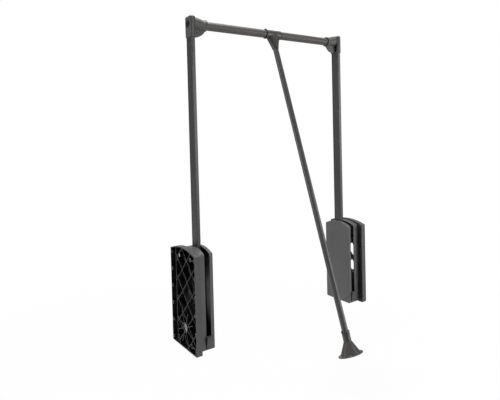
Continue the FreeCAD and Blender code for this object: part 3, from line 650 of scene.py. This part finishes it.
# ---- Studio ---------------------------------------------------------------------------------------
# A pale floor and a white surround. A large softbox hangs overhead, with weaker panels at the front
# right and behind the left side. The fitting hangs on its wardrobe's walls, so the floor lies
# deeper than the arms and rod reach at the joints' limits.

FLOOR_DEPTH = 0.29  # below the bell foot at rest, the lowest point of the upright fitting
FLOOR_SIDE = 14.0
BACKDROP_SIDE = (0.57, 0.82, 0.0)  # the way the camera looks

low, high = cad_box
floor_height = low.z - FLOOR_DEPTH
bpy.ops.object.select_all(action="DESELECT")
bpy.ops.mesh.primitive_plane_add(size=FLOOR_SIDE, location=((low.x + high.x) / 2, 0.0, floor_height))
floor = bpy.context.object
floor.name = "studio_floor"
bpy.ops.object.transform_apply(location=True, rotation=False, scale=False)


def white_rays(tree, place, near, far):
    """Camera and transmission rays, and gloss rays towards the backdrop's side, from near to far."""
    rays = tree.nodes.new("ShaderNodeLightPath")
    toward = tree.nodes.new("ShaderNodeVectorMath")
    toward.operation = "DOT_PRODUCT"
    tree.links.new(place, toward.inputs[0])
    toward.inputs[1].default_value = BACKDROP_SIDE
    side = ramp(tree, toward.outputs["Value"], near, far)
    glossy = math_node(tree, "MULTIPLY", rays.outputs["Is Glossy Ray"], side)
    camera_ray = rays.outputs["Is Camera Ray"]
    direct = math_node(tree, "MAXIMUM", camera_ray, rays.outputs["Is Transmission Ray"])
    return math_node(tree, "MAXIMUM", direct, glossy)


def floor_finish():
    """Pale floor that takes the shadows, and fades into the white surround further out."""
    made, tree, shader = new_material("floor_finish")
    fade_from, fade_to = 0.3, 2.0
    gloss_from, gloss_to = 2.0, 5.0
    shader.inputs["Base Color"].default_value = (0.86, 0.86, 0.86, 1.0)
    shader.inputs["Roughness"].default_value = 0.9
    shader.inputs["Specular IOR Level"].default_value = 0.1
    glow = tree.nodes.new("ShaderNodeEmission")
    glow.inputs["Color"].default_value = (1.0, 1.0, 1.0, 1.0)
    glow.inputs["Strength"].default_value = 1.0
    distance = tree.nodes.new("ShaderNodeVectorMath")
    distance.operation = "LENGTH"
    tree.links.new(object_place(tree), distance.inputs[0])
    fade = ramp(tree, distance.outputs["Value"], fade_from, fade_to, 0.90, 1.0)
    blend = tree.nodes.new("ShaderNodeMixShader")
    white = white_rays(tree, object_place(tree), gloss_from, gloss_to)
    seen = math_node(tree, "MULTIPLY", white, fade)
    tree.links.new(seen, blend.inputs["Fac"])
    tree.links.new(shader.outputs["BSDF"], blend.inputs[1])
    tree.links.new(glow.outputs["Emission"], blend.inputs[2])
    output = [n for n in tree.nodes if n.type == "OUTPUT_MATERIAL"][0]
    tree.links.new(blend.outputs["Shader"], output.inputs["Surface"])
    return made


floor.data.materials.append(floor_finish())


ROOM_LIGHT = 0.09


def white_surround():
    """Dim room light; the camera and glass see white, and gloss sees it on the backdrop's side."""
    world = bpy.data.worlds.new("studio_surround")
    world.use_nodes = True
    tree = world.node_tree
    tree.nodes.clear()
    place = tree.nodes.new("ShaderNodeTexCoord")
    side_from, side_to = 0.60, 0.95
    white = white_rays(tree, place.outputs["Generated"], side_from, side_to)
    level = math_node(tree, "MULTIPLY_ADD", white, 1.0 - ROOM_LIGHT)
    level.node.inputs[2].default_value = ROOM_LIGHT
    light = tree.nodes.new("ShaderNodeBackground")
    light.inputs["Color"].default_value = (1.0, 1.0, 1.0, 1.0)
    tree.links.new(level, light.inputs["Strength"])
    out = tree.nodes.new("ShaderNodeOutputWorld")
    tree.links.new(light.outputs["Background"], out.inputs["Surface"])
    return world


bpy.context.scene.world = white_surround()


def softbox(name, place, target, width, height, watts):
    """A rectangular area lamp at place that faces target."""
    lamp = bpy.data.lights.new(name, "AREA")
    lamp.shape = "RECTANGLE"
    lamp.size = width
    lamp.size_y = height
    lamp.energy = watts
    made = bpy.data.objects.new(name, lamp)
    bpy.context.scene.collection.objects.link(made)
    made.location = place
    made.rotation_euler = (Vector(target) - Vector(place)).to_track_quat("-Z", "Y").to_euler()
    return made


softbox("top_box", (0.3, 0.0, 2.2), (0.31, -0.05, 0.1), 1.2, 1.2, 58.0)
softbox("front_panel", (1.75, -1.95, 0.55), (0.31, -0.05, 0.3), 1.4, 1.2, 31.0)
softbox("side_panel", (-2.9, 1.1, 0.9), (0.5, -0.05, 0.1), 1.2, 1.2, 48.0)

CAMERA_PLACE = (-0.51309, -1.06156, 0.4237)
CAMERA_TURN = -34.645
CAMERA_LIFT = -1.703  # degrees above the level
CAMERA_ROLL = -1.401

camera = bpy.data.cameras.new("camera")
camera.sensor_fit = "HORIZONTAL"
camera.sensor_width = 36.0
camera.lens = 32.796
camera.shift_y = -0.104
viewer = bpy.data.objects.new("camera", camera)
bpy.context.scene.collection.objects.link(viewer)
turn = Matrix.Rotation(math.radians(CAMERA_TURN), 4, "Z")
tilt = Matrix.Rotation(math.radians(90.0 + CAMERA_LIFT), 4, "X")
roll = Matrix.Rotation(math.radians(CAMERA_ROLL), 4, "Z")
viewer.matrix_world = Matrix.Translation(CAMERA_PLACE) @ turn @ tilt @ roll
bpy.context.scene.camera = viewer
bpy.context.scene.view_settings.view_transform = "Standard"
